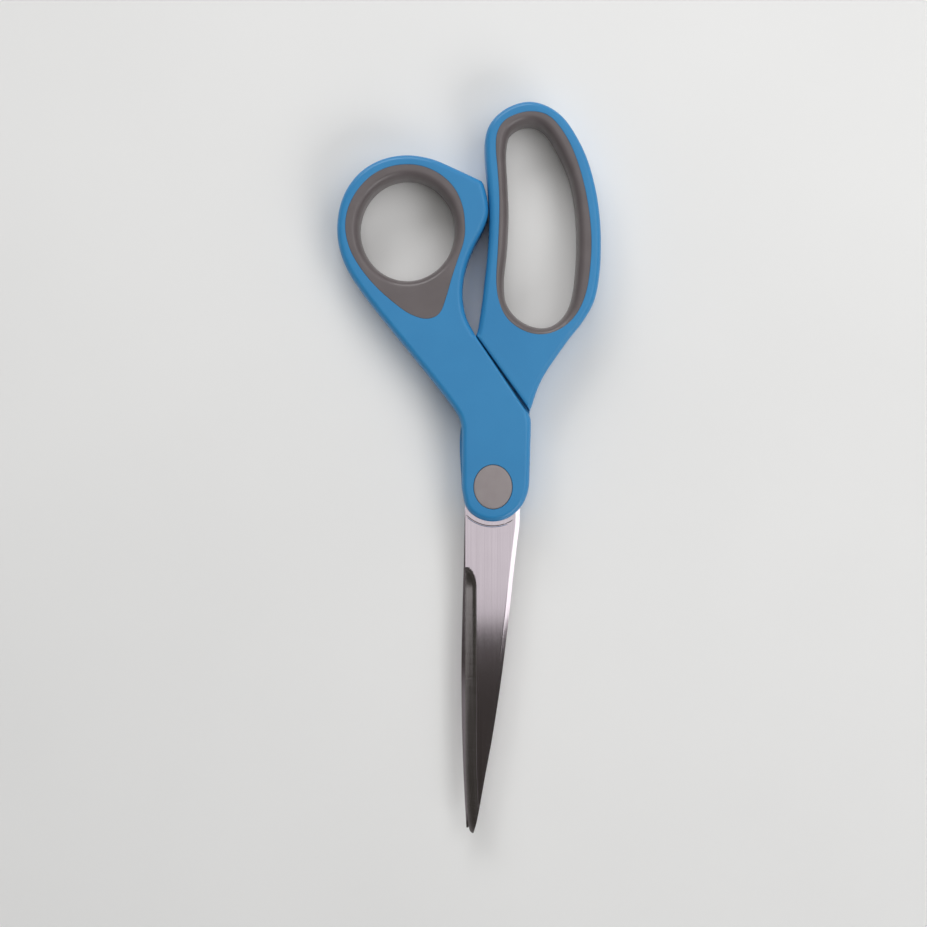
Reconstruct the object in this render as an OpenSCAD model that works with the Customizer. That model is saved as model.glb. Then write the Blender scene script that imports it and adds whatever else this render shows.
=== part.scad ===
// Office scissors, 8 inch, closed and lying flat on their underside.
// Millimetres. The origin is on the pivot's axis, in the plane that the scissors rest on.
// +Z is up through the pivot, +Y runs towards the loops and the blades point along -Y.

/* [Thickness] */
// Thickness of the loops and of the boss over the pivot
handle_t = 11; // [10:0.5:13]
// Thickness of one blade's steel
blade_t = 1.7; // [1.4:0.1:2]
// Gap between the inner faces of the two blades
blade_gap = 0.1; // [0.06:0.02:0.2]
// Gap between the inner faces of the two plastic handles
half_gap = 0.3; // [0.2:0.05:0.4]
// Gap between a handle's step wall and the other handle's arm
wall_gap = 0.4; // [0.3:0.1:0.6]

/* [Blades] */
// Width of the ground bevel along a cutting edge
bevel_w = 3.2; // [2.4:0.1:4]
// Height that the bevel takes off the blade at the cutting edge
bevel_drop = 1.1; // [0.6:0.1:1.3]
// Radius of the hole through the end of each tang, which the plastic fills
tang_hole_r = 1.5; // [1:0.1:2]

/* [Pivot] */
// Radius of the screw's shank
shank_r = 2.5; // [2:0.1:3]
// Running clearance of the thumb blade on the shank
run_gap = 0.05; // [0.02:0.01:0.1]
// Radius of the screw's head
head_r = 3.6; // [3.3:0.1:3.8]
// Height of the screw's head
head_h = 1.5; // [1:0.1:1.8]
// Width of the nut across its flats
nut_af = 7; // [6.5:0.1:7.4]
// Half width of a pivot cap
cap_a = 5.3; // [5:0.1:6]
// Half length of a pivot cap
cap_b = 6.1; // [5.8:0.1:7]
// Thickness of a pivot cap's oval plate
cap_t = 1.4; // [1:0.1:1.6]

/* [Detail] */
// Pieces that a curve is drawn with between two of its points
steps = 5; // [3:1:8]
// Roundness of every circle
$fn = 72; // [32:8:128]

/* [Hidden] */

// Levels
mid_z = handle_t / 2;
finger_blade_z = mid_z - blade_gap / 2 - blade_t;
thumb_blade_z = mid_z + blade_gap / 2;
thumb_blade_top = thumb_blade_z + blade_t;
head_z = thumb_blade_top + 0.55;
nut_z = finger_blade_z - 1.9;
over = 1;              // how far a cutting shape runs past the face it cuts
bore_gap = 0.4;        // room round the screw's head
cap_gap = 0.1;         // seam round a cap
peg_r = 0.6;           // a cap's two snap pegs
peg_y = 5.0;
peg_h = 1.2;

// The step wall, seen from above: the thumb handle's arm lies on its lower left
wall_top = [-4.7, 41.9];
wall_end = [9.6, 20.7];
// The same step on the underside, where the finger handle's arm lies on its right
under_end = [-8.7, 17.2];

// ---- Outlines: hand-set points, with a smooth curve through them ----

// Ellipse with its centre and half sizes
function ellipse(c, a, b, n = 72) = [for (i = [0:n - 1]) [c.x + a * cos(i * 360 / n), c.y + b * sin(i * 360 / n)]];

// Direction of the curve at point i, from its neighbours
function heading(a, b, c) = (c - a) / (norm(c - b) + norm(b - a));
function span_point(p, q, hp, hq, t) = let (d = norm(q - p))
    p * (2 * t ^ 3 - 3 * t ^ 2 + 1) + q * (3 * t ^ 2 - 2 * t ^ 3)
    + d * hp * (t ^ 3 - 2 * t ^ 2 + t) + d * hq * (t ^ 3 - t ^ 2);

// Open curve through all its points
function curve(p) = let (last = len(p) - 1, h = [for (i = [0:last])
    heading(p[max(i - 1, 0)], p[i], p[min(i + 1, last)])])
    [for (i = [0:last - 1], k = [0:steps - 1]) span_point(p[i], p[i + 1], h[i], h[i + 1], k / steps), p[last]];

// Closed curve through all its points
function ring(p) = let (n = len(p), h = [for (i = [0:n - 1]) heading(p[(i + n - 1) % n], p[i], p[(i + 1) % n])])
    [for (i = [0:n - 1], k = [0:steps - 1]) span_point(p[i], p[(i + 1) % n], h[i], h[(i + 1) % n], k / steps)];

// Unit vector square to the line from a to b, on its left
function side(a, b) = let (d = (b - a) / norm(b - a)) [-d.y, d.x];

wall_side = side(wall_top, wall_end);
under_side = side(under_end, wall_top);

// Round end of both handles under and over the pivot, from its left side round to its right
boss_edge = curve([[-8.6, -0.5], [-7.2, -6], [-3.8, -8.8], [0.4, -9.6], [4.6, -8.4], [8, -5.2], [9.8, -1],
                   [10.2, 5], [10.4, 12], [10.5, 18.5], [10.1, 20.1]]);

// Thumb handle: inner side with its stop, then over the loop and down the arm
thumb_inner = curve([[-4.9, 42.1], [-7.4, 47], [-8.4, 53.5], [-7.6, 60], [-5.5, 66], [-2.6, 71.5],
                     [-1.25, 75.5], [-1.6, 80], [-2.8, 84.4]]);
thumb_outer = curve([[-2.8, 84.4], [-10.5, 88], [-17, 90.7], [-24, 91.7], [-31, 90.4], [-37, 86.7], [-41.2, 80.8],
                     [-43, 73.5], [-42.6, 66.5], [-40.4, 60.3], [-36, 53.5], [-30.3, 46.2], [-23.5, 37.8],
                     [-17.4, 30.3], [-11.9, 23.2], [-9.4, 19.4], [-8.6, 16.5]]);
thumb_plan = concat([wall_end - wall_side * wall_gap / 2, wall_top - wall_side * wall_gap / 2],
                    thumb_inner, thumb_outer, boss_edge);

// Finger handle: up its left side, round the loop and down to the step wall
finger_edge = curve([[-4.1, 43.4], [-3.1, 50], [-2.3, 56.5], [-1.5, 64], [-1, 71], [-1, 77], [-1.5, 84], [-2.1, 91],
                     [-2.2, 95.6], [-1.3, 99.4], [1, 102.6], [4.8, 105.2], [10, 106.5], [15, 105.3], [19.3, 102.3],
                     [22.8, 97.5], [26, 91], [28.3, 83], [29.6, 74.5], [29.9, 66], [29.4, 58], [27.9, 51],
                     [24.8, 45.6], [21.3, 41.2], [17.8, 36.3], [14.2, 30.9], [12.1, 26.4], [10.7, 22]]);
finger_plan = concat([wall_end + wall_side * wall_gap / 2, wall_top + wall_side * wall_gap / 2], finger_edge);
finger_arm_plan = concat([wall_end + wall_side, wall_top + wall_side * wall_gap, wall_top, under_end], boss_edge);

thumb_grip_edge = ring([[-7.7, 71], [-8.3, 77], [-10.6, 82.3], [-14.8, 86.3], [-20.4, 88.6], [-26.8, 88.6],
                        [-32.6, 86.4], [-37.2, 82], [-40, 76.6], [-40.7, 71], [-39.3, 65.2], [-36.3, 60],
                        [-32.4, 55.3], [-28, 51.3], [-23.2, 47.8], [-18.4, 46.3], [-14.9, 47.6], [-13, 52],
                        [-11.4, 57.5], [-9.6, 63], [-8.1, 67.5]]);
thumb_hole_c = [-23.7, 71.2];
thumb_hole = ellipse(thumb_hole_c, 13.1, 14);

finger_grip_edge = ring([[10.6, 103.5], [6.4, 102.7], [3, 100.8], [1.1, 97.5], [0.8, 93], [1.3, 87], [1.7, 80.5],
                         [1.7, 74], [1.3, 65], [0.9, 56.5], [1.7, 51], [3.8, 46.6], [7.6, 43.5], [12, 42.1],
                         [16.4, 42.6], [20.6, 45], [23.8, 49], [25.8, 54.2], [26.8, 61], [27.1, 68.5], [26.4, 76.5],
                         [24.7, 85], [22, 93], [18.6, 99], [15, 102.5]]);
finger_hole = ring([[10.6, 100.4], [7.2, 99.7], [4.7, 97.6], [3.8, 93], [4.1, 85], [4.5, 75.5], [4, 65], [3.2, 57],
                    [3.8, 51], [6.8, 46.8], [11.4, 44.4], [15.6, 44.4], [19.2, 46.8], [21.6, 51], [22.9, 59],
                    [23.3, 68], [22.9, 76.5], [21.5, 84.5], [19, 91], [16, 96.6], [13.6, 99.3]]);

// Thumb blade: up the spine from its point, the wide root, the tang in the thumb arm, then down the cutting edge
thumb_blade_plan = concat(
    curve([[-5.4, -96.7], [-4.4, -93], [-2.2, -81], [0, -69], [2.3, -54], [4.3, -38], [5.9, -23], [7.4, -11]]),
    curve([[7.5, -9], [7.4, 4], [5, 12], [2.9, 22]]),
    [[-9.9, 40], [-15.7, 36]],
    curve([[-2.9, 18], [-5.6, 12], [-7.5, 4], [-7.6, -9]]),
    curve([[-7.6, -78], [-7.3, -86], [-6.9, -93], [-6.4, -96]]));
// Finger blade: the same the other way round, with its spine on the left
finger_blade_plan = concat(
    curve([[-7.3, -95.3], [-7.7, -88.5], [-8.2, -78], [-8.6, -64], [-8.7, -50], [-8.4, -34], [-8, -20], [-7.8, -9]]),
    curve([[-7.6, 4], [-5.6, 12], [-3, 20]]),
    [[1.8, 44], [7.8, 43]],
    curve([[4, 20], [5, 12], [7, 4], [7.2, -9]]),
    curve([[6.4, -18], [-2, -70], [-5.8, -91.5], [-6.6, -95]]));
thumb_tang_hole = [-11.6, 35.8];
finger_tang_hole = [4.3, 40.6];
// Where each bevel starts on its cutting edge, and how far that edge leans
thumb_edge = [-7.6, -22.5];
thumb_lean = 0;
finger_edge_start = [5.6, -23];
finger_lean = 9.2;

// ---- Shared shapes ----

// A flat piece of a given outline between two levels
module slab(plan, z0, z1) {
    translate([0, 0, z0]) linear_extrude(z1 - z0) polygon(plan);
}

module drum(r, z0, z1) {
    translate([0, 0, z0]) cylinder(r = r, h = z1 - z0);
}

// Wedge that grinds the bevel off a blade's upper face, along a cutting edge on its left
module grind(start, lean, length) {
    translate([start.x, start.y, 0]) rotate([0, 0, lean]) rotate([90, 0, 0]) linear_extrude(length)
        polygon([[bevel_w, 0], [-over, -bevel_drop * (bevel_w + over) / bevel_w], [-over, over], [bevel_w, over]]);
}

// The two snap pegs under a cap's plate
module pegs(z0, z1) {
    for (y = [-peg_y, peg_y]) translate([0, y, z0]) cylinder(r = peg_r, h = z1 - z0, $fn = 32);
}

module hexagon(af, z0, z1) {
    translate([0, 0, z0]) cylinder(r = af / 2 / cos(30), h = z1 - z0, $fn = 6);
}

// ---- Sub-parts ----

module thumb_steel() {
    difference() {
        slab(thumb_blade_plan, thumb_blade_z, thumb_blade_top);
        translate(thumb_tang_hole) drum(tang_hole_r, thumb_blade_z - over, thumb_blade_top + over);
    }
}

module finger_steel() {
    difference() {
        slab(finger_blade_plan, finger_blade_z, finger_blade_z + blade_t);
        translate(finger_tang_hole) drum(tang_hole_r, finger_blade_z - over, finger_blade_z + blade_t + over);
    }
}

module thumb_blade() {
    color([0.76, 0.74, 0.75]) difference() {
        thumb_steel();
        drum(shank_r + run_gap, thumb_blade_z - over, thumb_blade_top + over);
        translate([0, 0, thumb_blade_top]) grind(thumb_edge, thumb_lean, 80);
    }
}

module finger_blade() {
    color([0.7, 0.69, 0.7]) difference() {
        finger_steel();
        drum(shank_r, finger_blade_z - over, finger_blade_z + blade_t + over);
        translate([0, 0, finger_blade_z]) rotate([0, 180, 0])
            grind([-finger_edge_start.x, finger_edge_start.y], finger_lean, 80);
    }
}

// Full thickness in the loop and the arm's left side, and the upper half over the pivot
module thumb_handle() {
    color([0.25, 0.53, 0.73]) difference() {
        slab(thumb_plan, 0, handle_t);
        // The step on the underside, for the finger handle's arm
        slab([wall_top + under_side * wall_gap, under_end + under_side * wall_gap, [-20, under_end.y],
              [-20, -20], [20, -20], [20, wall_top.y], [wall_top.x, wall_top.y]], -over, mid_z + half_gap / 2);
        slab(thumb_grip_edge, -over, handle_t + over);
        thumb_steel();
        drum(head_r + bore_gap, thumb_blade_z - over, handle_t + over);
        slab(ellipse([0, 0], cap_a + cap_gap, cap_b + cap_gap), handle_t - cap_t, handle_t + over);
        pegs(handle_t - cap_t - peg_h, handle_t);
    }
}

// Full thickness in the loop down to the step wall, and the lower half under the pivot
module finger_handle() {
    color([0.23, 0.5, 0.7]) difference() {
        union() {
            slab(finger_plan, 0, handle_t);
            slab(finger_arm_plan, 0, mid_z - half_gap / 2);
        }
        slab(finger_grip_edge, -over, handle_t + over);
        finger_steel();
        hexagon(nut_af + bore_gap / 2, cap_t, finger_blade_z + over);
        slab(ellipse([0, 0], cap_a + cap_gap, cap_b + cap_gap), -over, cap_t);
        pegs(0, cap_t + peg_h);
    }
}

module thumb_grip() {
    color([0.43, 0.4, 0.41]) difference() {
        slab(thumb_grip_edge, 0, handle_t);
        slab(thumb_hole, -over, handle_t + over);
    }
}

module finger_grip() {
    color([0.43, 0.4, 0.41]) difference() {
        slab(finger_grip_edge, 0, handle_t);
        slab(finger_hole, -over, handle_t + over);
    }
}

module pivot_screw() {
    color([0.6, 0.6, 0.62]) difference() {
        union() {
            drum(shank_r, nut_z, head_z);
            drum(head_r, head_z, head_z + head_h);
        }
        translate([-head_r - over, -0.5, head_z + head_h - 0.8]) cube([2 * (head_r + over), 1, 2]);
    }
}

module pivot_nut() {
    color([0.55, 0.55, 0.57]) difference() {
        hexagon(nut_af, nut_z, finger_blade_z);
        drum(shank_r, nut_z - over, finger_blade_z + over);
    }
}

// Cone-shaped spring washer between the screw's head and the thumb blade
module spring_washer() {
    lift = 0.27;
    sheet = 0.24;
    foot = thumb_blade_top + 0.02;
    color([0.66, 0.64, 0.6]) rotate_extrude()
        polygon([[shank_r + 0.1, foot + lift], [head_r + 0.2, foot], [head_r + 0.2, foot + sheet],
                 [shank_r + 0.1, foot + lift + sheet]]);
}

module thumb_cap() {
    color([0.56, 0.53, 0.53]) {
        slab(ellipse([0, 0], cap_a, cap_b), handle_t - cap_t, handle_t);
        pegs(handle_t - cap_t - peg_h, handle_t - cap_t);
    }
}

module finger_cap() {
    color([0.56, 0.53, 0.53]) {
        slab(ellipse([0, 0], cap_a, cap_b), 0, cap_t);
        pegs(cap_t, cap_t + peg_h);
    }
}

thumb_blade();
finger_blade();
thumb_handle();
finger_handle();
thumb_grip();
finger_grip();
pivot_screw();
pivot_nut();
spring_washer();
thumb_cap();
finger_cap();
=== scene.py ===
"""Office scissors: moulded two-colour handles, ground steel blades and a capped pivot.

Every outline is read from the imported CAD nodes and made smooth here. Inside the script lengths are
millimetres; a mesh is turned into metres when it is made. The finger half is built in a frame turned
half a turn about the Y axis, so that both halves use the same functions.
"""
import math

import bmesh
import bpy
import numpy as np
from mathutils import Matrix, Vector
from mathutils.geometry import delaunay_2d_cdt


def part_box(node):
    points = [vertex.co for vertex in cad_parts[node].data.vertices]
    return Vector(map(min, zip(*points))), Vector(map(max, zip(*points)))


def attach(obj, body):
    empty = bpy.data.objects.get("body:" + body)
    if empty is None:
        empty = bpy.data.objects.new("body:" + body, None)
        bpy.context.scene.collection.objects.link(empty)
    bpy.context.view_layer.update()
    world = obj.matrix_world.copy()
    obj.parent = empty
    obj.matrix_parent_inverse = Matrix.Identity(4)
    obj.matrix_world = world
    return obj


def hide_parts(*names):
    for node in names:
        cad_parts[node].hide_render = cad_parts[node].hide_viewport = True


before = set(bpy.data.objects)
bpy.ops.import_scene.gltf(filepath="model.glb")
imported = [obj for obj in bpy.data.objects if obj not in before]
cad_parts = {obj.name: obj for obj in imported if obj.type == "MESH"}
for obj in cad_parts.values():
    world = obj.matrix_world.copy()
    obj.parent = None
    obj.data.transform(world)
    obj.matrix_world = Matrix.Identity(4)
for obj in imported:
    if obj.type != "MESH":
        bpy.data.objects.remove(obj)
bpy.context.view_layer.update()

MM = 0.001
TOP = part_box("thumb_handle")[1].z / MM          # thickness of the handles
SPLIT = 5.65                                    # inner face of the thumb handle's half-thick arm
BLADE_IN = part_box("thumb_blade")[0].z / MM      # inner face of the thumb blade
BLADE_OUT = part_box("thumb_blade")[1].z / MM     # outer face of the thumb blade
CAP_FLOOR = 9.6                                 # floor of the recess under a cap
PEG_END = 8.4                                   # lower end of a cap's pegs
CLOSE = 0.004                                   # points this near each other are one point


# ---------------------------------------------------------------- outlines

def level_loops(node, level, turned):
    """Closed outlines of a CAD node's flat faces at one height, longest first, each anticlockwise."""
    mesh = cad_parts[node].data
    height = TOP - level if turned else level
    keys = [tuple(round(c / MM, 3) for c in v.co) for v in mesh.vertices]
    edges = set()
    for face in mesh.polygons:
        corners = [keys[i] for i in face.vertices]
        if all(abs(c[2] - height) < CLOSE for c in corners):
            edges.update(zip(corners, corners[1:] + corners[:1]))
    after = {a: b for a, b in edges if (b, a) not in edges}
    loops = []
    while after:
        start = min(after)
        loop = [start]
        here = after.pop(start)
        while here != start:
            loop.append(here)
            here = after.pop(here)
        points = np.array([p[:2] for p in loop])
        if turned:
            points = points * (-1, 1)
        loops.append(points if area(points) > 0 else points[::-1])
    return sorted(loops, key=lambda p: -perimeter(p))


def area(p):
    q = np.roll(p, -1, axis=0)
    return 0.5 * float(np.sum(p[:, 0] * q[:, 1] - q[:, 0] * p[:, 1]))


def perimeter(p):
    return float(np.linalg.norm(np.roll(p, -1, axis=0) - p, axis=1).sum())


def smooth_loop(p, spacing=0.6, corner=24.0, straight=5.0, passes=2):
    """The outline as a smooth curve through its points, with evenly spaced points of its own.

    Turns sharper than corner degrees stay corners, which each pass of averaging rounds a little, and
    edges longer than straight stay straight.
    """
    step = np.roll(p, -1, axis=0) - p
    p = p[np.linalg.norm(step, axis=1) > 1e-3]
    step = np.roll(p, -1, axis=0) - p
    size = np.linalg.norm(step, axis=1)
    ahead = step / size[:, None]
    behind = np.roll(ahead, 1, axis=0)
    turn = np.degrees(np.arccos(np.clip((ahead * behind).sum(1), -1, 1)))
    size_behind = np.roll(size, 1)
    middle = ahead * size[:, None] + behind * size_behind[:, None]
    middle /= np.linalg.norm(middle, axis=1)[:, None]
    leave, arrive = middle.copy(), middle.copy()
    for i in range(len(p)):
        if turn[i] > corner:
            leave[i], arrive[i] = ahead[i], behind[i]
        elif size[i] > straight:
            leave[i] = arrive[i] = ahead[i]
        elif size_behind[i] > straight:
            leave[i] = arrive[i] = behind[i]
    first = int(np.argmax(turn))
    t = np.linspace(0, 1, 13)[:-1, None]
    out = []
    for k in range(len(p)):
        i, j = (first + k) % len(p), (first + k + 1) % len(p)
        out.append(p[i] * (2 * t**3 - 3 * t**2 + 1) + p[j] * (3 * t**2 - 2 * t**3)
                   + size[i] * leave[i] * (t**3 - 2 * t**2 + t) + size[i] * arrive[j] * (t**3 - t**2))
    dense = np.vstack(out + [p[first][None]])
    along = np.concatenate([[0], np.cumsum(np.linalg.norm(np.diff(dense, axis=0), axis=1))])
    count = max(24, int(round(along[-1] / spacing)))
    wanted = np.linspace(0, along[-1], count + 1)[:-1]
    even = np.stack([np.interp(wanted, along, dense[:, c]) for c in (0, 1)], axis=1)
    for _ in range(passes):
        even = 0.5 * even + 0.25 * (np.roll(even, 1, axis=0) + np.roll(even, -1, axis=0))
    return even


def outward(p):
    """Unit vectors out of an anticlockwise outline."""
    d = np.roll(p, -1, axis=0) - np.roll(p, 1, axis=0)
    d /= np.linalg.norm(d, axis=1)[:, None]
    return np.stack([d[:, 1], -d[:, 0]], axis=1)


def distance(points, line, closed=True):
    """Distance of each point from a line through the given points, in batches to save memory."""
    a = line if closed else line[:-1]
    b = np.roll(line, -1, axis=0) if closed else line[1:]
    d = b - a
    long2 = np.maximum((d * d).sum(1), 1e-12)
    out = np.empty(len(points))
    for i in range(0, len(points), 1500):
        w = points[i:i + 1500, None] - a[None]
        t = np.clip((w * d[None]).sum(2) / long2, 0, 1)
        out[i:i + 1500] = np.sqrt(((w - t[..., None] * d[None]) ** 2).sum(2).min(1))
    out[out < 1e-3] = 0
    return out


def inside(points, loops):
    """True where a point lies inside an odd number of the loops."""
    result = np.zeros(len(points), bool)
    x, y = points[:, 0, None], points[:, 1, None]
    for p in loops:
        q = np.roll(p, -1, axis=0)
        rise = np.where(q[:, 1] == p[:, 1], 1e-12, q[:, 1] - p[:, 1])
        crosses = ((p[None, :, 1] > y) != (q[None, :, 1] > y)) & (
            x < (q[:, 0] - p[:, 0]) * (y - p[None, :, 1]) / rise + p[:, 0])
        result ^= (crosses.sum(1) % 2).astype(bool)
    return result


def straight_part(raw, ring, least=20.0):
    """The points of ring that lie on the raw outline's straight edges longer than least, as a mask."""
    ends = np.roll(raw, -1, axis=0)
    size = np.linalg.norm(ends - raw, axis=1)
    mask = np.zeros(len(ring), bool)
    for i in np.nonzero(size > least)[0]:
        mask |= distance(ring, np.array([raw[i], ends[i]]), closed=False) < 0.35
    return mask


def runs(ring, mask):
    """The stretches of a closed ring where the mask holds, as open lines."""
    if mask.all():
        return [np.vstack([ring, ring[:1]])]
    start = int(np.argmin(mask))
    ring, mask = np.roll(ring, -start, axis=0), np.roll(mask, -start)
    lines, now = [], []
    for p, m in zip(ring, mask):
        if m:
            now.append(p)
        elif now:
            lines.append(np.array(now))
            now = []
    if now:
        lines.append(np.array(now))
    return [line for line in lines if len(line) > 1]


# ---------------------------------------------------------------- surfaces

def fall(d, width, depth, power=2.0):
    """How far a rounded edge has dropped at distance d from it."""
    t = np.clip(1 - d / width, 0, 1)
    return depth * (1 - (1 - t**power) ** (1 / power))


def round_steps(width, count=7, power=2.0):
    """Distances from an edge that describe its rounding evenly."""
    angle = np.linspace(0, math.pi / 2, count + 1)[1:]
    return width * (1 - np.cos(angle) ** (2 / power))


def offset_points(ring, steps, loops, sign=-1, closed=True, normals=None, slack=0.975):
    """Points inside the loops at each distance from a ring, leaving out those that fold over."""
    n = outward(ring) if normals is None else normals
    found = []
    for s in steps:
        p = ring + sign * s * n
        keep = inside(p, loops) & (distance(p, ring, closed) > slack * s)
        found.append(p[keep])
    return np.vstack(found)


def clear_points(points, loops, gap=0.08, cell=0.03):
    """The points that keep clear of every loop and of each other."""
    for loop in loops:
        points = points[distance(points, loop) > gap]
    first = np.unique(np.round(points / cell), axis=0, return_index=True)[1]
    return points[np.sort(first)]


NO_POINTS = np.zeros((0, 2))


def level(z):
    """The height function of a flat surface."""
    return lambda points: np.full(len(points), z)


def sheet(loops, extra, height):
    """A surface over the area between the loops, through extra points, at the given height."""
    extra = clear_points(extra, loops) if len(extra) else NO_POINTS
    points, edges, start = np.vstack(loops + [extra]), [], 0
    for loop in loops:
        n = len(loop)
        edges += [(start + i, start + (i + 1) % n) for i in range(n)]
        start += n
    made = delaunay_2d_cdt([Vector(p) for p in points], edges, [], 0, 1e-6, True)
    flat = np.array([tuple(v) for v in made[0]])
    walls = {frozenset(edge) for edge, source in zip(made[1], made[4]) if source}
    return np.column_stack([flat, height(flat)]), kept_faces(made[2], walls)


def kept_faces(faces, walls):
    """The triangles inside the walls: each wall crossed on the way in from the rim changes the side."""
    sides = {}
    for k, face in enumerate(faces):
        for a, b in zip(face, face[1:] + face[:1]):
            sides.setdefault(frozenset((a, b)), []).append(k)
    within = {}
    for edge, beside in sides.items():
        if len(beside) == 1:
            within[beside[0]] = edge in walls
    todo = list(within)
    while todo:
        k = todo.pop()
        face = faces[k]
        for a, b in zip(face, face[1:] + face[:1]):
            edge = frozenset((a, b))
            for other in sides[edge]:
                if other not in within:
                    within[other] = within[k] != (edge in walls)
                    todo.append(other)
    return [tuple(face) for k, face in enumerate(faces) if within.get(k)]


def strip(low, high):
    """Quads between two closed rings of 3-D points."""
    n = len(low)
    return np.vstack([low, high]), [(i, (i + 1) % n, n + (i + 1) % n, n + i) for i in range(n)]


def at(ring, z):
    """A ring of 3-D points from a flat ring and a height, or a height for each point."""
    return np.column_stack([ring, np.broadcast_to(z, len(ring))])


def make_piece(name, parts, turned, body, nodes, materials, angle=38.0, pick=None):
    """One closed mesh from its parts, in the CAD frame, riding on its body.

    Edges sharper than angle stay sharp. pick chooses the material of a face.
    """
    points, faces = [], []
    for p, f in parts:
        faces += [tuple(i + len(points) for i in face) for face in f]
        points += [tuple(v) for v in p]
    if turned:
        points = [(-x, y, TOP - z) for x, y, z in points]
    mesh = bpy.data.meshes.new(name)
    mesh.from_pydata([(x * MM, y * MM, z * MM) for x, y, z in points], [], faces)
    bm = bmesh.new()
    bm.from_mesh(mesh)
    bmesh.ops.remove_doubles(bm, verts=bm.verts, dist=CLOSE * MM)
    bmesh.ops.dissolve_degenerate(bm, edges=bm.edges, dist=CLOSE / 8 * MM)
    bmesh.ops.recalc_face_normals(bm, faces=bm.faces)
    for face in bm.faces:
        face.smooth = True
        if pick is not None:
            face.material_index = pick(face, turned)
    for edge in bm.edges:
        if len(edge.link_faces) == 2 and math.degrees(edge.calc_face_angle(0)) > angle:
            edge.smooth = False
    bm.to_mesh(mesh)
    bm.free()
    for m in materials:
        mesh.materials.append(m)
    piece = bpy.data.objects.new(name, mesh)
    bpy.context.scene.collection.objects.link(piece)
    weighted = piece.modifiers.new("weighted", "WEIGHTED_NORMAL")
    weighted.keep_sharp = True
    weighted.weight = 100
    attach(piece, body)
    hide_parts(*nodes)


# ---------------------------------------------------------------- materials

SCRATCH_DEPTH = 0.0000008       # metres
PLASTIC_GRAIN = 0.0000035
RUBBER_GRAIN = 0.000006
CAP_GRAIN = 0.000006
FLOOR_FADE = (0.35, 1.0)        # where the floor starts to fade and where it is gone


def new_material(name):
    material = bpy.data.materials.new(name)
    material.use_nodes = True
    tree = material.node_tree
    return material, tree, tree.nodes["Principled BSDF"]


def noise(tree, scale, detail=2.0, stretch=(1, 1, 1)):
    """Noise in the object's own metres, with this many cells in a metre along each axis."""
    where = tree.nodes.new("ShaderNodeTexCoord")
    mapping = tree.nodes.new("ShaderNodeMapping")
    mapping.inputs["Scale"].default_value = stretch
    texture = tree.nodes.new("ShaderNodeTexNoise")
    texture.inputs["Scale"].default_value = scale
    texture.inputs["Detail"].default_value = detail
    tree.links.new(where.outputs["Object"], mapping.inputs["Vector"])
    tree.links.new(mapping.outputs["Vector"], texture.inputs["Vector"])
    return texture.outputs["Fac"]


def spread(tree, value, low, high, from_low=0.3, from_high=0.7):
    """The value's range from_low to from_high mapped to low to high."""
    node = tree.nodes.new("ShaderNodeMapRange")
    for key, v in (("From Min", from_low), ("From Max", from_high), ("To Min", low), ("To Max", high)):
        node.inputs[key].default_value = v
    tree.links.new(value, node.inputs["Value"])
    return node.outputs["Result"]


def two_colours(tree, value, a, b, low=0.3, high=0.7):
    ramp = tree.nodes.new("ShaderNodeValToRGB")
    for element, position, colour in zip(ramp.color_ramp.elements, (low, high), (a, b)):
        element.position = position
        element.color = (*colour, 1)
    tree.links.new(value, ramp.inputs["Fac"])
    return ramp.outputs["Color"]


def add_up(tree, first, second, share=0.5):
    """The first value plus a share of the second."""
    node = tree.nodes.new("ShaderNodeMath")
    node.operation = "MULTIPLY_ADD"
    node.inputs[1].default_value = share
    tree.links.new(second, node.inputs[0])
    tree.links.new(first, node.inputs[2])
    return node.outputs["Value"]


def bump(tree, shader, value, depth, strength=1.0):
    node = tree.nodes.new("ShaderNodeBump")
    node.inputs["Strength"].default_value = strength
    node.inputs["Distance"].default_value = depth
    tree.links.new(value, node.inputs["Height"])
    tree.links.new(node.outputs["Normal"], shader.inputs["Normal"])


def blue_plastic():
    """Satin moulded plastic: spark-eroded grain, slow sink ripples and slightly uneven gloss."""
    material, tree, shader = new_material("blue_plastic")
    clouds = noise(tree, 55, 3)
    colour = two_colours(tree, clouds, (0.027, 0.224, 0.487), (0.033, 0.246, 0.520))
    tree.links.new(colour, shader.inputs["Base Color"])
    tree.links.new(spread(tree, noise(tree, 320, 4), 0.29, 0.38), shader.inputs["Roughness"])
    grain = add_up(tree, noise(tree, 3600, 2), noise(tree, 60, 1), 22.0)
    bump(tree, shader, grain, PLASTIC_GRAIN, 0.6)
    shader.inputs["IOR"].default_value = 1.46
    return material


def grey_rubber():
    """Soft overmoulded rubber: matt, faintly mottled, with a fine grain."""
    material, tree, shader = new_material("grey_rubber")
    clouds = noise(tree, 130, 4)
    colour = two_colours(tree, clouds, (0.124, 0.106, 0.108), (0.148, 0.128, 0.131))
    tree.links.new(colour, shader.inputs["Base Color"])
    tree.links.new(spread(tree, noise(tree, 420, 2), 0.31, 0.37), shader.inputs["Roughness"])
    grain = add_up(tree, noise(tree, 4200, 2), noise(tree, 80, 1), 10.0)
    bump(tree, shader, grain, RUBBER_GRAIN, 0.7)
    return material


def cap_plastic():
    """Pale grey snap cap with a fine eroded surface."""
    material, tree, shader = new_material("cap_plastic")
    clouds = noise(tree, 260, 4)
    colour = two_colours(tree, clouds, (0.290, 0.252, 0.256), (0.318, 0.282, 0.284))
    tree.links.new(colour, shader.inputs["Base Color"])
    tree.links.new(spread(tree, noise(tree, 700, 3), 0.46, 0.58), shader.inputs["Roughness"])
    bump(tree, shader, noise(tree, 6500, 2), CAP_GRAIN, 0.7)
    return material


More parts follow.
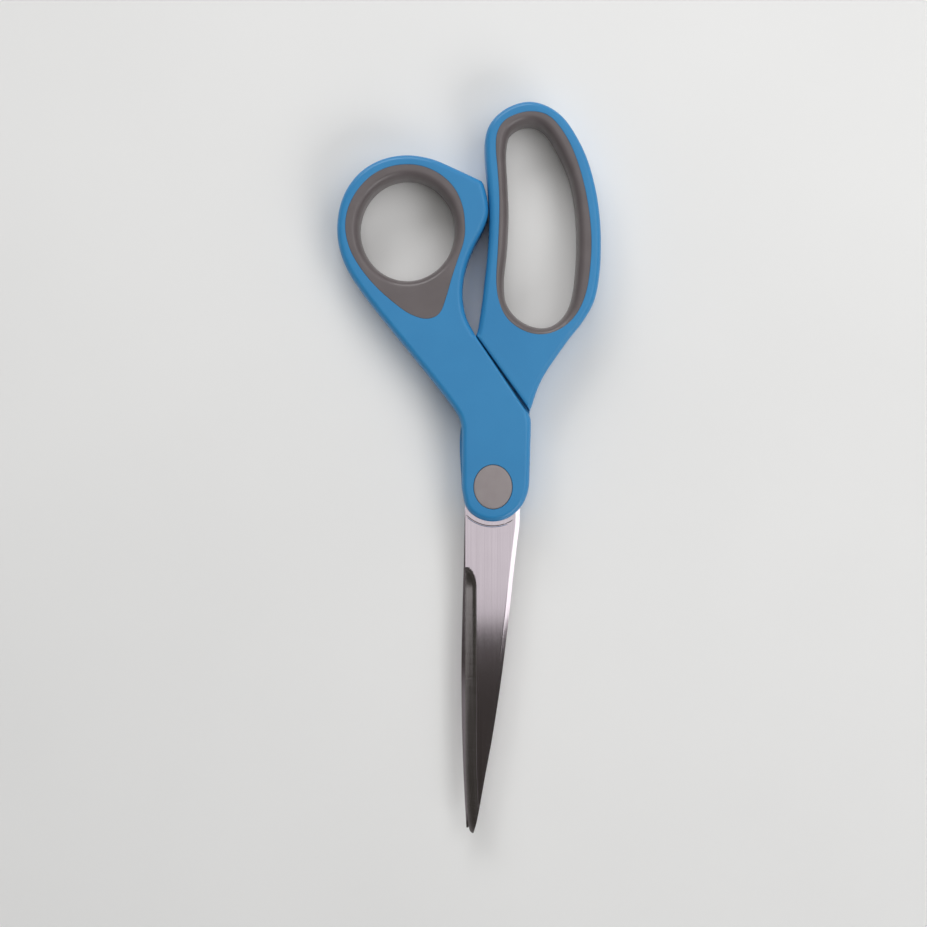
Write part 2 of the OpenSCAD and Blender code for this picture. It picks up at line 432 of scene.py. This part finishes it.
def steel(name, colour_a, colour_b, stretch, rough, aniso=0.8, axis="Y"):
    """Ground stainless steel: fine parallel scratches, some broader, with uneven gloss between them."""
    material, tree, shader = new_material(name)
    fine = noise(tree, 1.0, 2, tuple(9.0 * s for s in stretch))
    broad = noise(tree, 1.0, 3, tuple(1.6 * s for s in stretch))
    patches = noise(tree, 70, 2)
    both = add_up(tree, fine, broad, 0.8)
    colour = two_colours(tree, add_up(tree, broad, patches, 0.6), colour_a, colour_b, 0.62, 0.98)
    tree.links.new(colour, shader.inputs["Base Color"])
    tree.links.new(spread(tree, both, rough[0], rough[1], 0.6, 1.2), shader.inputs["Roughness"])
    shader.inputs["Metallic"].default_value = 1.0
    shader.inputs["Anisotropic"].default_value = aniso
    if axis:
        across = tree.nodes.new("ShaderNodeTangent")
        across.direction_type, across.axis = "RADIAL", axis
        tree.links.new(across.outputs["Tangent"], shader.inputs["Tangent"])
    bump(tree, shader, both, SCRATCH_DEPTH, 0.8)
    return material


def paper_floor():
    """Pale paper that fades into the backdrop well away from the object."""
    material, tree, shader = new_material("pale_floor")
    colour = two_colours(tree, noise(tree, 9, 3), (0.86, 0.86, 0.855), (0.89, 0.89, 0.885))
    tree.links.new(colour, shader.inputs["Base Color"])
    shader.inputs["Roughness"].default_value = 0.9
    where = tree.nodes.new("ShaderNodeTexCoord")
    away = tree.nodes.new("ShaderNodeVectorMath")
    away.operation = "LENGTH"
    tree.links.new(where.outputs["Object"], away.inputs[0])
    tree.links.new(spread(tree, away.outputs["Value"], 1, 0, *FLOOR_FADE), shader.inputs["Alpha"])
    return material


# ---------------------------------------------------------------- handles

EDGE = (1.6, 2.0)       # width and depth of a handle's rounded outer edge
TIGHT = (0.7, 0.75)     # the same along a step wall
SEAM = (0.12, 0.10)     # the same beside the grip
FLASH = 0.05            # how far the parting line stands out
FLASH_SIDE = 0.2        # height of each slope of the parting line
CAP_SEAM = (0.08, 0.08)     # width and depth of the rounded edge of a cap's recess
EDGE_ROWS = [0.1, 0.2, 0.35]    # extra rows of points near an edge, where it is steepest
BESIDE_SEAM = [0.6]     # row of points that ends the rounding beside the grip


def split_ring(whole, deep_raw):
    """Where the step line meets the whole outline: the deep part's ring and the half-thick part's ring,
    each as (indices into whole, points of the straight step line after them)."""
    ends = np.roll(deep_raw, -1, axis=0)
    middle_gap = distance((deep_raw + ends) / 2, whole)
    size = np.linalg.norm(ends - deep_raw, axis=1)
    k = int(np.argmax(np.where(middle_gap > 0.5, size, 0)))
    i, j = (int(np.argmin(np.linalg.norm(whole - p, axis=1))) for p in (deep_raw[k], ends[k]))
    n = len(whole)
    deep = [(j + m) % n for m in range((i - j) % n + 1)]
    half = [(i + m) % n for m in range((j - i) % n + 1)]
    count = max(3, int(np.linalg.norm(whole[i] - whole[j]) / 0.6))
    line = np.array([whole[i] + (whole[j] - whole[i]) * m / count for m in range(1, count)])
    return deep, line, half, line[::-1]


def handle_heights(rings):
    """The top surface's height from a list of (line, closed, width, depth)."""
    def height(points):
        drop = np.zeros(len(points))
        for line, closed, width, depth in rings:
            drop = np.maximum(drop, fall(distance(points, line, closed), width, depth))
        return TOP - drop
    return height


def build_handle(name, node, turned, body, material):
    """A handle with its grip's opening, cap recess and bore. Returns its outline, seen from above."""
    face = level_loops(node, TOP, turned)
    deep_raw = level_loops(node, 0, turned)[0]
    whole, grip = (smooth_loop(p) for p in face[:2])
    recess = smooth_loop(face[2], 0.4, passes=0)
    bore = smooth_loop(level_loops(node, CAP_FLOOR, turned)[1], 0.4, passes=0)
    tight = straight_part(face[0], whole)
    deep_i, deep_line, half_i, half_line = split_ring(whole, deep_raw)

    rules = [(line, False, *EDGE) for line in runs(whole, ~tight)]
    rules += [(line, False, *TIGHT) for line in runs(whole, tight)]
    rules += [(grip, True, *SEAM), (recess, True, *CAP_SEAM)]
    top = handle_heights(rules)
    loops = [whole, grip, recess]
    extra = np.vstack([
        offset_points(whole, round_steps(EDGE[0]), loops),
        offset_points(whole, EDGE_ROWS, loops),
        offset_points(grip, round_steps(SEAM[0], 3), loops, 1),
        offset_points(grip, BESIDE_SEAM, loops, 1),
        offset_points(recess, [0.09, 0.3], loops, 1),
    ])
    parts = [sheet(loops, extra, top)]

    lip = whole + FLASH * outward(whole)
    parts += [strip(at(whole, SPLIT + FLASH_SIDE), at(whole, top(whole))),
              strip(at(lip, SPLIT), at(whole, SPLIT + FLASH_SIDE))]

    # Half-thick arm over the pivot: its inner face, with the bore through it
    half = np.vstack([lip[half_i], half_line])
    parts.append(sheet([half, bore], NO_POINTS, level(SPLIT)))

    # Full-thickness part: down to the other face
    deep_lip = np.vstack([lip[deep_i], deep_line])
    deep = np.vstack([whole[deep_i], deep_line])
    step = np.vstack([whole[deep_i[-1]], deep_line, whole[deep_i[0]]])
    soft = np.concatenate([~tight[deep_i], np.zeros(len(deep_line), bool)])
    foot_rules = [(line, False, *EDGE) for line in runs(deep, soft)]
    foot_rules += [(step, False, *TIGHT), (grip, True, *SEAM)]
    foot_top = handle_heights(foot_rules)

    def foot(points):
        return TOP - foot_top(points)

    foot_loops = [deep, grip]
    foot_extra = np.vstack([
        offset_points(deep, round_steps(EDGE[0]), foot_loops),
        offset_points(deep, EDGE_ROWS, foot_loops),
        offset_points(grip, round_steps(SEAM[0], 3), foot_loops, 1),
        offset_points(grip, BESIDE_SEAM, foot_loops, 1),
    ])
    parts += [strip(at(deep, SPLIT - FLASH_SIDE), at(deep_lip, SPLIT)),
              strip(at(deep, foot(deep)), at(deep, SPLIT - FLASH_SIDE)),
              sheet(foot_loops, foot_extra, foot),
              strip(at(grip, foot(grip)), at(grip, top(grip)))]

    # Recess for the cap, and the bore under it
    parts += [strip(at(recess, CAP_FLOOR), at(recess, top(recess))),
              sheet([recess, bore], NO_POINTS, level(CAP_FLOOR)),
              strip(at(bore, SPLIT), at(bore, CAP_FLOOR))]
    make_piece(name, parts, turned, body, [node], [material])
    return whole


BULGE = (2.5, 2.35)     # width of the grip's rounded inner wall, and the power of its rounding


def build_grip(name, node, body, material):
    """The rubber lining of a loop, whose inner wall bulges to its narrowest at mid height."""
    outer, hole = (smooth_loop(p) for p in level_loops(node, TOP, False)[:2])
    half = TOP / 2

    def top(points):
        drop = fall(distance(points, hole), BULGE[0], half, BULGE[1])
        return TOP - np.maximum(drop, fall(distance(points, outer), *SEAM))

    loops = [outer, hole]
    extra = np.vstack([
        offset_points(hole, round_steps(BULGE[0], 12, BULGE[1]), loops, 1),
        offset_points(outer, round_steps(SEAM[0], 3), loops),
        offset_points(outer, BESIDE_SEAM, loops),
    ])
    upper = sheet(loops, extra, top)
    lower = (upper[0] * (1, 1, -1) + (0, 0, TOP), upper[1])
    parts = [upper, lower, strip(at(outer, TOP - top(outer)), at(outer, top(outer)))]
    make_piece(name, parts, False, body, [node], [material])


CAP_DOME = 0.14         # how far a cap's face falls from its middle to its rim
CAP_RIM = (0.4, 0.16)   # width and depth of its rounded rim
PEG_TAPER = 0.25        # height of a peg's tapered end
PEG_TIP = 0.75          # share of a peg's width at its tip
DOME_RINGS = (0.15, 0.3, 0.45, 0.6, 0.7, 0.8)


def build_cap(name, node, turned, body, material):
    """Oval snap cap: a faintly domed plate with a rounded rim, on two pegs."""
    rim = smooth_loop(level_loops(node, TOP, turned)[0], 0.4, passes=0)
    pegs = [smooth_loop(p, 0.16, passes=0) for p in level_loops(node, PEG_END, turned)]
    half_size = np.abs(rim).max(0)

    def top(points):
        r2 = ((points / half_size) ** 2).sum(1)
        return TOP - CAP_DOME * r2 - fall(distance(points, rim), *CAP_RIM)

    extra = [offset_points(rim, round_steps(CAP_RIM[0], 5), [rim])]
    extra += [rim[::2] * k for k in DOME_RINGS]
    parts = [sheet([rim], np.vstack(extra), top), strip(at(rim, CAP_FLOOR), at(rim, top(rim))),
             sheet([rim, *pegs], NO_POINTS, level(CAP_FLOOR))]
    for peg in pegs:
        tip = peg.mean(0) + (peg - peg.mean(0)) * PEG_TIP
        parts += [strip(at(peg, PEG_END + PEG_TAPER), at(peg, CAP_FLOOR)),
                  strip(at(tip, PEG_END), at(peg, PEG_END + PEG_TAPER)),
                  sheet([tip], NO_POINTS, level(PEG_END))]
    make_piece(name, parts, turned, body, [node], [material])


# ---------------------------------------------------------------- blades

BEVEL = 3.1             # width of the ground bevel
STEEP = (0.9, 0.50)     # width and drop of its steep inner strip
BEVEL_DROP = 1.30       # drop of the bevel at the cutting edge
HOLLOW = 0.05           # depth of the bevel's hollow grinding
RUN_OUT = 6.0           # length of the curve that the bevel starts with
THIN_EDGE = 0.06        # steel left at the cutting edge
BLADE_END = 200.0       # any length past the blade's point
SPINE = (1.25, 0.38)    # width and drop of the eased spine
SPINE_TAPER = 32        # length over which it narrows towards the point
INNER_EASE = (1.25, 0.28)   # width and drop of the inner face along the spine
INNER_TAPER = 9         # length over which it narrows towards the point
INNER_START = 10        # length over which it deepens from the pivot on
TANG_START = 12.0       # where the tang dips under the handle's inner face
TANG_RAMP = 2           # length of the dip
TANG_DIP = 0.25         # depth of the dip
TANG_X = np.arange(-12, 12, 0.7)        # points across the tang where the dip starts and ends
GROOVE = (1.4, 0.27, 0.10)  # distance of the shoulder groove from the handle, its half width, its depth
GROOVE_EDGE = (0.25, 0.4)   # where the groove starts beside the blade's edge, and how fast
GROOVE_SPINE = (1.5, 3.0)   # the same beside the spine
SHARP_PART = 1.6        # the outline nearer the line of the edge than this is the cutting edge
SIDEWAYS = 0.3          # a face whose normal rises less than this is a side

# Rows of points that carry the shapes above, as distances
BEVEL_ROWS = [0.12, 0.28, 0.33, 0.8, 1.3, 1.8, 2.26, 2.34, 2.7, 3.05, 3.15, 3.5]
RIDGE_ROWS = (-0.06, 0.05, 0.4, 0.77, 0.84, 1.4)
GROOVE_ROWS = [1.05, 1.13, 1.2, 1.3, 1.4, 1.5, 1.6, 1.67, 1.75]
SPINE_SHARES = (0.12, 0.3, 0.5, 0.7, 0.88, 1.0, 1.15)
INNER_SHARES = (0.5, 0.97, 1.03)


def bevel_drop(u, v):
    """Drop of the bevel at distance u from the cutting edge and v past the bevel's start, and the
    distance from its ridge, or -1 outside the bevel."""
    turn = np.radians(np.linspace(0, 90, 31))
    run_out = np.column_stack([BEVEL * np.sin(turn), RUN_OUT * (1 - np.cos(turn))])
    ridge = np.vstack([run_out, [[BEVEL, BLADE_END]]])
    s = distance(np.column_stack([u, v]), ridge, closed=False)
    start = np.sqrt(np.clip(1 - ((RUN_OUT - np.minimum(v, RUN_OUT)) / RUN_OUT) ** 2, 0, 1))
    cut = (v > 0) & (u < BEVEL * start)
    t = np.clip((s - STEEP[0]) / (BEVEL - STEEP[0]), 0, 1)
    face = STEEP[1] + (BEVEL_DROP - STEEP[1]) * t + HOLLOW * np.sin(math.pi * t)
    drop = np.where(s < STEEP[0], STEEP[1] * s / STEEP[0], face)
    return np.where(cut, drop, 0), np.where(cut, s, -1)


def build_blade(name, node, turned, body, start, lean, handle_ring, materials):
    """A blade whose bevel starts at a point and leans by some degrees, with its tang."""
    loops = level_loops(node, BLADE_IN, turned)
    plan = smooth_loop(loops[0], 0.5, straight=6.0, passes=1)
    holes = [smooth_loop(p, 0.3, passes=0) for p in loops[1:3]]
    c, s = math.cos(math.radians(lean)), math.sin(math.radians(lean))
    start = np.array(start)

    def line_uv(p):
        w = p - start
        return w @ (c, s), -(w @ (-s, c))

    u, v = line_uv(plan)
    edge = max(runs(plan, (u < SHARP_PART) & (v > -3)), key=len)
    spine = max(runs(plan, (u > SHARP_PART) & (plan[:, 1] < 3)), key=len)
    tip_y = plan[:, 1].min()

    def uv(p):
        return distance(p, edge, closed=False), line_uv(p)[1]

    def ease(p, width=SPINE[0], length=SPINE_TAPER):
        return width * np.clip((p[:, 1] - tip_y) / length, 0.12, 1)

    def groove(p):
        gap = np.abs(distance(p, handle_ring) - GROOVE[0]) / GROOVE[1]
        from_edge = np.clip((distance(p, plan) - GROOVE_EDGE[0]) / GROOVE_EDGE[1], 0, 1)
        from_spine = np.clip((distance(p, spine, closed=False) - GROOVE_SPINE[0]) / GROOVE_SPINE[1], 0, 1)
        return GROOVE[2] * np.clip(1 - gap**2, 0, 1) * (p[:, 1] < 0) * from_edge * from_spine

    def top(p):
        drop, _ = bevel_drop(*uv(p))
        width = ease(p)
        t = np.clip(1 - distance(p, spine, closed=False) / width, 0, 1)
        drop = np.maximum(drop, SPINE[1] * width / SPINE[0] * t**1.15)
        return BLADE_OUT - np.minimum(drop + groove(p), BLADE_OUT - BLADE_IN - THIN_EDGE)

    def under(p):
        width = ease(p, INNER_EASE[0], INNER_TAPER)
        t = np.clip(1 - distance(p, spine, closed=False) / width, 0, 1)
        eased = INNER_EASE[1] * width / INNER_EASE[0] * t * np.clip(-p[:, 1] / INNER_START, 0, 1)
        return BLADE_IN + eased + TANG_DIP * np.clip((p[:, 1] - TANG_START) / TANG_RAMP, 0, 1)

    all_loops = [plan, *holes]
    extra = [offset_points(edge, BEVEL_ROWS, all_loops, closed=False, normals=side_normals(edge))]
    turn = np.radians(np.linspace(2, 90, 34))
    for inset in RIDGE_ROWS:
        a, b = BEVEL - inset, RUN_OUT - inset
        local = np.column_stack([a * np.sin(turn), RUN_OUT - b * np.cos(turn)])
        extra.append(start + local[:, :1] * (c, s) + local[:, 1:] * (s, -c))
    for share in SPINE_SHARES:
        extra.append(spine - side_normals(spine) * (ease(spine) * share)[:, None])
    extra.append(offset_points(handle_ring, GROOVE_ROWS, [plan], 1))
    extra = np.vstack(extra)
    extra = extra[inside(extra, all_loops)]
    inner = ease(spine, INNER_EASE[0], INNER_TAPER)
    below = np.vstack([spine - side_normals(spine) * (inner * share)[:, None] for share in INNER_SHARES]
                      + [np.array([(x, y) for x in TANG_X]) for y in (TANG_START, TANG_START + TANG_RAMP)])
    parts = [sheet(all_loops, extra, top), strip(at(plan, under(plan)), at(plan, top(plan))),
             sheet(all_loops, below[inside(below, all_loops)], under)]
    parts += [strip(at(h, under(h)), at(h, BLADE_OUT)) for h in holes]

    def pick(face, turned):
        """Ground steel for the sides and the bevel, flat steel for the rest."""
        if abs(face.normal.z) < SIDEWAYS:
            return 1
        x, y, z = (k / MM for k in face.calc_center_median())
        if turned:
            x, z = -x, TOP - z
        if z < BLADE_IN + 0.05:
            return 0
        from_ridge = bevel_drop(*uv(np.array([[x, y]])))[1][0]
        faces_out = face.normal.z * (-1 if turned else 1) > SIDEWAYS
        return 1 if from_ridge > 0 and faces_out else 0

    make_piece(name, parts, turned, body, [node], materials, angle=16.0, pick=pick)


def side_normals(line):
    """Unit vectors square to an open line, on the right of its direction."""
    d = np.gradient(line, axis=0)
    d /= np.linalg.norm(d, axis=1)[:, None]
    return np.stack([d[:, 1], -d[:, 0]], axis=1)


# ---------------------------------------------------------------- stage

def area_light(name, place, aim, width, depth, power):
    """A lamp panel of width by depth, at place and facing aim."""
    light = bpy.data.lights.new(name, "AREA")
    light.shape = "RECTANGLE"
    light.size, light.size_y = width, depth
    light.energy = power
    lamp = bpy.data.objects.new(name, light)
    bpy.context.scene.collection.objects.link(lamp)
    lamp.location = place
    lamp.rotation_mode = "QUATERNION"
    lamp.rotation_quaternion = (Vector(place) - Vector(aim)).to_track_quat("Z", "Y")
    lamp.visible_camera = False


def build_world():
    """Pale near the horizon and dark overhead, so that the flat steel has something dark to reflect."""
    world = bpy.data.worlds.new("studio")
    bpy.context.scene.world = world
    world.use_nodes = True
    tree = world.node_tree
    where = tree.nodes.new("ShaderNodeTexCoord")
    parts = tree.nodes.new("ShaderNodeSeparateXYZ")
    tree.links.new(where.outputs["Generated"], parts.inputs["Vector"])
    colour = two_colours(tree, parts.outputs["Z"], (0.88, 0.89, 0.90), (0.064, 0.059, 0.051), 0.05, 0.50)
    tree.links.new(colour, tree.nodes["Background"].inputs["Color"])
    tree.nodes["Background"].inputs["Strength"].default_value = 0.75


def build_floor(material):
    bm = bmesh.new()
    bmesh.ops.create_circle(bm, cap_ends=True, segments=96, radius=2.0)
    mesh = bpy.data.meshes.new("floor")
    bm.to_mesh(mesh)
    bm.free()
    mesh.materials.append(material)
    floor = bpy.data.objects.new("floor", mesh)
    floor.location.z = -0.02 * MM
    bpy.context.scene.collection.objects.link(floor)


def build_camera():
    """Straight down from 425 mm above the blades' plane."""
    camera = bpy.data.cameras.new("camera")
    camera.sensor_width = 36
    camera.angle = math.radians(33.84)
    camera.clip_start, camera.clip_end = 0.01, 20
    eye = bpy.data.objects.new("camera", camera)
    bpy.context.scene.collection.objects.link(eye)
    eye.location = (-0.00812, 0.00647, 0.4305)
    bpy.context.scene.camera = eye


def build_stage():
    """Floor, backdrop, camera and lamps.

    The lamps are panels, so that the flat steel is bright near the handle and dark at the point.
    """
    build_floor(paper_floor())
    build_world()
    build_camera()
    area_light("overhead", (0.04, 0.322, 0.62), (0.04, 0.322, 0), 0.52, 0.85, 1.15)
    area_light("upper_left", (-0.54, 0.38, 0.62), (-0.54, 0.38, 0), 0.32, 1.0, 0.50)
    area_light("lower_left", (-0.31, -0.38, 0.62), (-0.31, -0.38, 0), 0.22, 0.46, 0.064)
    area_light("right_panel", (0.46, 0.26, 0.60), (0, 0.26, 0), 0.85, 0.36, 1.7)
    area_light("back", (-0.40, 1.45, 0.85), (0, 0.05, 0), 1.35, 0.6, 14.0)
    area_light("front_right", (0.85, -0.95, 0.77), (0, 0, 0), 0.93, 0.54, 7.6)
    bpy.context.scene.view_settings.view_transform = "Standard"


# ---------------------------------------------------------------- the scissors

def main():
    blue, grey, cap = blue_plastic(), grey_rubber(), cap_plastic()
    flat = steel("blade_flat", (0.61, 0.545, 0.595), (0.67, 0.600, 0.655), (2200, 12, 12), (0.12, 0.155))
    ground = steel("blade_ground", (0.51, 0.473, 0.480), (0.57, 0.533, 0.541), (14, 1200, 14), (0.15, 0.21),
                   aniso=0.4, axis="X")
    dull = steel("fastener_steel", (0.52, 0.51, 0.50), (0.62, 0.61, 0.60), (500, 500, 40), (0.28, 0.40),
                 aniso=0.0, axis="")

    thumb_ring = build_handle("thumb_handle_shell", "thumb_handle", False, "thumb_half", blue)
    finger_ring = build_handle("finger_handle_shell", "finger_handle", True, "finger_half", blue)
    build_grip("thumb_loop_lining", "thumb_grip", "thumb_half", grey)
    build_grip("finger_loop_lining", "finger_grip", "finger_half", grey)
    build_cap("thumb_pivot_cap", "thumb_cap", False, "thumb_half", cap)
    build_cap("finger_pivot_cap", "finger_cap", True, "finger_half", cap)
    build_blade("thumb_ground_blade", "thumb_blade", False, "thumb_half", (-7.6, -22.5), 0.0, thumb_ring,
                [flat, ground])
    build_blade("finger_ground_blade", "finger_blade", True, "finger_half", (-5.6, -23.0), 9.2, finger_ring,
                [flat, ground])
    # The fasteners stay as they are in the CAD
    for name in ("pivot_screw", "pivot_nut", "spring_washer"):
        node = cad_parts[name]
        node.data.materials.clear()
        node.data.materials.append(dull)


main()
build_stage()
